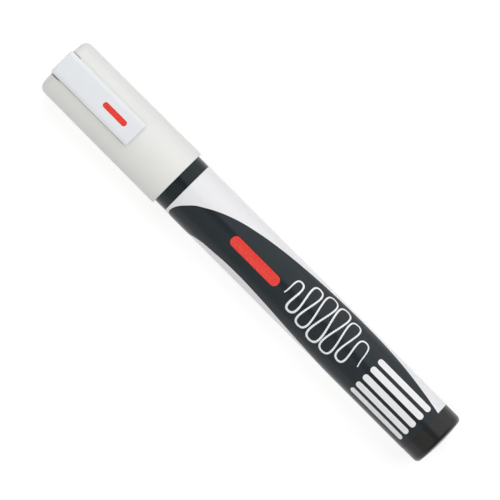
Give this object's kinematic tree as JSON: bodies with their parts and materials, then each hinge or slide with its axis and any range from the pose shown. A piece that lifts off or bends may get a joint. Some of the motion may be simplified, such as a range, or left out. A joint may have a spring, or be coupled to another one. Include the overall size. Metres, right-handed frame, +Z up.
{
  "type": "liquid chalk marker",
  "caption": "Capped liquid chalk marker with a round white barrel, black collar and tail plug, flat pocket clip, bullet nib, spring valve and mixing ball.",
  "frame": {"origin": "on the surface the marker lies on, under the middle of its length", "axes": "+X along the marker from the tail plug to the closed end of the cap, +Z up through the pocket clip, +Y across"},
  "size_m": [0.137, 0.0174, 0.0187],
  "materials": {
    "barrel_white": "gloss white moulding, printed",
    "black_moulding": "semi-gloss black moulding",
    "cap_ivory": "satin off-white moulding",
    "clip_white": "satin bluish-white moulding",
    "liner_plastic": "natural soft moulding",
    "valve_plastic": "natural moulding",
    "nib_fibre": "bonded fibre",
    "spring_steel": "drawn wire",
    "ball_steel": "polished",
    "print_black": "printed film, semi-gloss",
    "print_white": "printed film, semi-gloss",
    "print_red": "printed film, semi-gloss"
  },
  "bodies": {
    "barrel": {"barrel": "barrel_white", "tail_plug": "black_moulding", "front_section": "black_moulding", "valve_housing": "valve_plastic", "spring_cage": "valve_plastic", "valve_spring": "spring_steel"},
    "cap": {"cap_shell": "cap_ivory", "inner_cap": "liner_plastic"},
    "clip": {"pocket_clip": "clip_white"},
    "nib": {"writing_nib": "nib_fibre"},
    "valve": {"valve_stem": "valve_plastic"},
    "ball": {"mixing_ball": "ball_steel"}
  },
  "joints": [
    {"name": "cap_pull", "type": "slide", "parent": "barrel", "child": "cap", "axis": [1, 0, 0], "range_m": [0, 0.05]},
    {"name": "clip_flex", "type": "hinge", "parent": "cap", "child": "clip", "pos_m": [0.0669, 0, 0.01546], "axis": [0, 1, 0], "range_deg": [0, 5], "stiffness_Nm_per_rad": 0.6},
    {"name": "nib_press", "type": "slide", "parent": "barrel", "child": "nib", "axis": [-1, 0, 0], "range_m": [0, 0.0015], "stiffness_N_per_m": 800},
    {"name": "valve_open", "type": "slide", "parent": "barrel", "child": "valve", "axis": [-1, 0, 0], "range_m": [0, 0.0015], "deforming": ["valve_spring"]},
    {"name": "ball_roll", "type": "slide", "parent": "barrel", "child": "ball", "axis": [1, 0, 0], "range_m": [-0.029, 0.0317]}
  ],
  "couplings": [
    {"joint": "valve_open", "follows": "nib_press", "ratio": 1}
  ]
}
